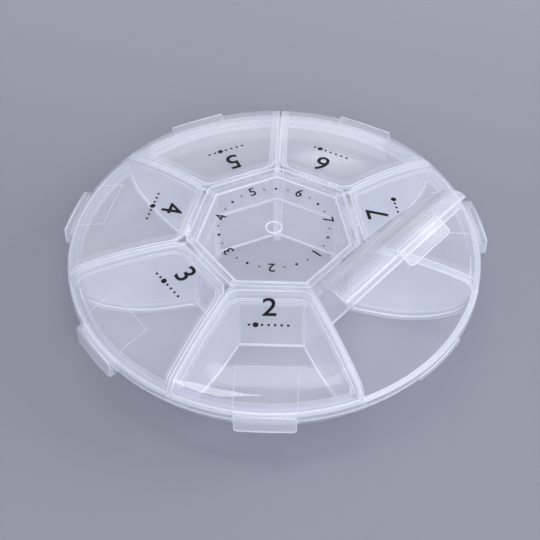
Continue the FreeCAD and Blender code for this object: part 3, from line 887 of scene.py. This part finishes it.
def thicken(mesh):
    """Gives a flat print its film of ink, cut finely enough to follow a dome."""
    work = bmesh.new()
    work.from_mesh(mesh)
    bmesh.ops.remove_doubles(work, verts=work.verts, dist=1e-7)
    bmesh.ops.triangulate(work, faces=work.faces)
    long_edges = [e for e in work.edges if e.calc_length() > PRINT_EDGE]
    bmesh.ops.subdivide_edges(work, edges=long_edges, cuts=2)
    bmesh.ops.triangulate(work, faces=work.faces)
    grown = bmesh.ops.extrude_face_region(work, geom=work.faces[:])
    raised = [g for g in grown["geom"] if isinstance(g, bmesh.types.BMVert)]
    bmesh.ops.translate(work, verts=raised, vec=(0, 0, PRINT_DEPTH))
    bmesh.ops.recalc_face_normals(work, faces=work.faces)
    work.to_mesh(mesh)
    work.free()


def drape(mesh):
    """Lays a flat print on the crown."""
    for vertex in mesh.vertices:
        radius = math.hypot(vertex.co.x, vertex.co.y)
        vertex.co.z += dome_level(radius) + PRINT_LIFT


def lid_print(number, day, tree, ink):
    """The digit, its top towards the cap, and below it seven dots with this day's dot marked."""
    digit = digit_mesh(str(number), DIGIT_HEIGHT)
    quarter = Matrix.Rotation(math.radians(90), 4, "Z")
    digit.transform(Matrix.Translation((DIGIT_RADIUS, 0, 0)) @ quarter)
    count = len(DAYS)
    points = [(ROW_RADIUS, (k - (count - 1) / 2) * ROW_SPACING, 0) for k in range(count)]
    marked = [1.0 if k == number - 1 else 0.0 for k in range(count)]
    dots = dots_mesh("dots", points, marked, ROW_DOT, ROW_MARK, tree, ink)
    return joined(f"print_{day}", [digit, dots])


def dial_print(tree, ink):
    """A ring of the seven digits around the middle of the cap, with dots between them."""
    parts = []
    for number, day in enumerate(DAYS, start=1):
        digit = digit_mesh(str(number), DIAL_DIGIT_HEIGHT)
        upright = Matrix.Rotation(lid_azimuth(day) - math.radians(90), 4, "Z")
        digit.transform(upright @ Matrix.Translation((0, DIAL_RADIUS, 0)))
        parts.append(digit)
    turns = [
        lid_azimuth(DAYS[0]) + SECTOR * k / DIAL_STEPS
        for k in range(len(DAYS) * DIAL_STEPS) if k % DIAL_STEPS
    ]
    points = [(DIAL_RADIUS * math.cos(t), DIAL_RADIUS * math.sin(t), 0) for t in turns]
    middle = [1.0 if k % 3 == 1 else 0.0 for k in range(len(points))]
    parts.append(dots_mesh("dial_dots", points, middle, DIAL_DOT, DIAL_MARK, tree, ink))
    return joined("print_cap", parts)


def make_prints(ink):
    tree = dot_tree()
    for number, day in enumerate(DAYS, start=1):
        mesh = lid_print(number, day, tree, ink)
        thicken(mesh)
        drape(mesh)
        mesh.transform(lid_place(day))
        add_piece(f"print_{day}", mesh, ink, f"lid_{day}")
    dial = dial_print(tree, ink)
    thicken(dial)
    drape(dial)
    add_piece("print_cap", dial, ink, TRAY_BODY)


# --- room, light and camera -----------------------------------------------------------

CAMERA_ELEVATION = math.radians(46.64)
CAMERA_AZIMUTH = math.radians(2.55)
CAMERA_ROLL = math.radians(-0.43)
CAMERA_DISTANCE = 324.8 * MM
CAMERA_TARGET = Vector((0, 0, 10 * MM))
CAMERA_LENS = 96.15
CAMERA_SHIFT = (-4.2 / 540, -6.7 / 540)
LAMP_COLOUR = (0.94, 0.96, 1.0)
WARM_COLOUR = (1.0, 0.92, 0.90)
WORLD_STRENGTH = 0.5
BACKDROP_COLOUR = (0.335, 0.350, 0.426)
TABLE_COLOUR = (0.288, 0.296, 0.348)
TABLE_CLOUD_COLOUR = (0.310, 0.318, 0.372)
# The paler back colour of the table is painted light: the table pales towards the back in place
# of the brighter light on its far part.
TABLE_PAINTED_LIGHT_COLOUR = (0.370, 0.378, 0.443)
PAINTED_LIGHT_START = 30 * MM
PAINTED_LIGHT_END = 130 * MM
TABLE_LEVEL = -0.02 * MM


def make_camera():
    data = bpy.data.cameras.new("camera")
    data.lens = CAMERA_LENS
    data.sensor_width = 36
    data.shift_x, data.shift_y = CAMERA_SHIFT
    data.clip_start = 0.01
    camera = bpy.data.objects.new("camera", data)
    bpy.context.scene.collection.objects.link(camera)
    back = Vector((0, -math.cos(CAMERA_ELEVATION), math.sin(CAMERA_ELEVATION)))
    level = Vector((1, 0, 0))
    rise = back.cross(level)
    right = level * math.cos(CAMERA_ROLL) + rise * math.sin(CAMERA_ROLL)
    up = rise * math.cos(CAMERA_ROLL) - level * math.sin(CAMERA_ROLL)
    place = Matrix((right, up, back)).transposed().to_4x4()
    place.translation = CAMERA_TARGET + back * CAMERA_DISTANCE
    camera.matrix_world = Matrix.Rotation(CAMERA_AZIMUTH, 4, "Z") @ place
    bpy.context.scene.camera = camera


def add_softbox(name, position, size, power, colour=LAMP_COLOUR, diffuse=True, glossy=True):
    """A rectangular lamp that faces the box: metres and watts."""
    data = bpy.data.lights.new(name, "AREA")
    data.shape = "RECTANGLE"
    data.size, data.size_y = size
    data.energy = power
    data.color = colour
    lamp = bpy.data.objects.new(name, data)
    bpy.context.scene.collection.objects.link(lamp)
    lamp.location = position
    lamp.visible_diffuse = diffuse
    lamp.visible_glossy = glossy
    direction = CAMERA_TARGET - Vector(position)
    lamp.rotation_euler = direction.to_track_quat("-Z", "Y").to_euler()


def make_table():
    mesh = bpy.data.meshes.new("table")
    work = bmesh.new()
    bmesh.ops.create_grid(work, x_segments=2, y_segments=2, size=3.0)
    work.to_mesh(mesh)
    work.free()
    table = bpy.data.objects.new("table", mesh)
    bpy.context.scene.collection.objects.link(table)
    table.location.z = TABLE_LEVEL
    material, nodes, links, body = new_material("table top")
    place = nodes.new("ShaderNodeTexCoord").outputs["Object"]
    cloud = add_noise(nodes, links, place, 6.0, 2.0)
    near = mix_colours(nodes, links, cloud, TABLE_COLOUR, TABLE_CLOUD_COLOUR)
    # Painted light: the colour pales from the near tone to the paler back tone along Y.
    axes = nodes.new("ShaderNodeSeparateXYZ")
    links.new(place, axes.inputs["Vector"])
    back = remap(nodes, links, axes.outputs["Y"], PAINTED_LIGHT_START, PAINTED_LIGHT_END, 0.0, 1.0)
    colour = mix_colours(nodes, links, back, near, TABLE_PAINTED_LIGHT_COLOUR)
    links.new(colour, body.inputs["Base Color"])
    body.inputs["Roughness"].default_value = 0.8
    body.inputs["Specular IOR Level"].default_value = 0.15
    mesh.materials.append(material)


def make_world():
    """Even light from all round, behind a backdrop of the table's own colour."""
    world = bpy.data.worlds.new("studio")
    bpy.context.scene.world = world
    world.use_nodes = True
    nodes, links = world.node_tree.nodes, world.node_tree.links
    light = nodes["Background"]
    light.inputs["Color"].default_value = (*LAMP_COLOUR, 1.0)
    light.inputs["Strength"].default_value = WORLD_STRENGTH
    backdrop = nodes.new("ShaderNodeBackground")
    backdrop.inputs["Color"].default_value = (*BACKDROP_COLOUR, 1.0)
    path = nodes.new("ShaderNodeLightPath")
    both = nodes.new("ShaderNodeMixShader")
    links.new(path.outputs["Is Camera Ray"], both.inputs["Fac"])
    links.new(light.outputs["Background"], both.inputs[1])
    links.new(backdrop.outputs["Background"], both.inputs[2])
    links.new(both.outputs["Shader"], nodes["World Output"].inputs["Surface"])


def make_room():
    make_table()
    make_world()
    add_softbox("side_softbox", (0.70, 0.14, 0.47), (0.46, 0.46), 2.5)
    add_softbox("front_fill", (0.10, -0.66, 0.58), (0.4, 0.4), 3.2, glossy=False)
    add_softbox("top_softbox", (0.0, 0.075, 0.95), (0.46, 0.13), 1.0)
    add_softbox("back_softbox", (-0.05, 0.80, 0.27), (0.5, 0.22), 0.40, WARM_COLOUR)
    add_softbox("strip_glint", (-0.33, -0.42, 0.79), (0.36, 0.60), 6.0, diffuse=False)


# --- the box --------------------------------------------------------------------------


def coat_nodes(nodes, surface):
    """Gives each CAD piece its plastic and returns the cap's, which the webs share."""
    depth = plastic_depth_group()
    shut_lid = polypropylene(
        "lid polypropylene", surface, depth, LID_CLEARNESS, LID_SHINE, LID_BANDS
    )
    # The open lid's plastic is a copy of the shut lids' with painted shade at its rim and tab.
    open_lid = polypropylene(
        "open lid polypropylene", surface, depth, LID_CLEARNESS, OPEN_LID_SHINE, OPEN_LID_PAINTED_SHADE_BANDS,
        lid_place(OPEN_DAY) @ Matrix.Rotation(-lid_azimuth(OPEN_DAY), 4, "Z"),
    )
    cap = polypropylene("cap polypropylene", surface, depth, LID_CLEARNESS, LID_SHINE, CAP_BANDS)
    tray = polypropylene(
        "tray polypropylene", surface, depth, TRAY_CLEARNESS, TRAY_SHINE, TRAY_BANDS
    )
    plastics = {"base_tray": tray, "center_cap": cap, f"lid_{OPEN_DAY}": open_lid}
    for name, node in nodes.items():
        for slot in node.material_slots:
            slot.material = plastics.get(name, shut_lid)
    return cap


def main():
    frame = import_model()
    make_camera()
    make_room()
    surface = moulded_surface_group()
    make_webs(coat_nodes(frame["nodes"], surface))
    edges = thick_polypropylene("edge polypropylene", surface, EDGE_CLEARNESS)
    corners = thick_polypropylene("corner polypropylene", surface, CORNER_CLEARNESS)
    make_edges(edge_bead_tree(), edges, corners)
    make_prints(black_ink())
    bpy.context.scene.view_settings.view_transform = "Standard"
    bpy.context.scene.cycles.transparent_max_bounces = 48


main()
